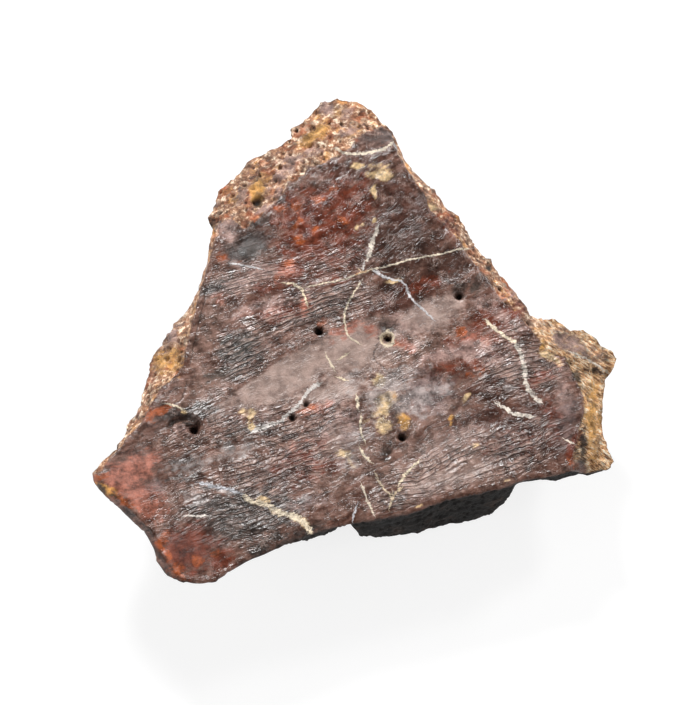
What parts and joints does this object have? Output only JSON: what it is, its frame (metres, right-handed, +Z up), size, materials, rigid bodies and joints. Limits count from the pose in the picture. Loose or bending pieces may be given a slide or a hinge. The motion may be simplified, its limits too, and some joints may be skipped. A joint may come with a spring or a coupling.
{
  "type": "fossil crocodile scute",
  "caption": "Broken fossil bony plate, roughly triangular, with a smooth hollowed face up, porous broken edges, and a pitted, keeled underside worn flat where it rests.",
  "frame": {"origin": "middle of the bounding box in plan, at the level of the surface the scute rests on", "axes": "+Z up out of the smooth face, +X toward the broken knob on the right, +Y toward the narrow end"},
  "size_m": [0.05, 0.0522, 0.0115],
  "materials": {
    "fossil_bone": "smooth, half-glossy mineralised bone on its face, dull and porous where it is broken"
  },
  "bodies": {
    "root": {"scute": "fossil_bone"}
  },
  "joints": []
}
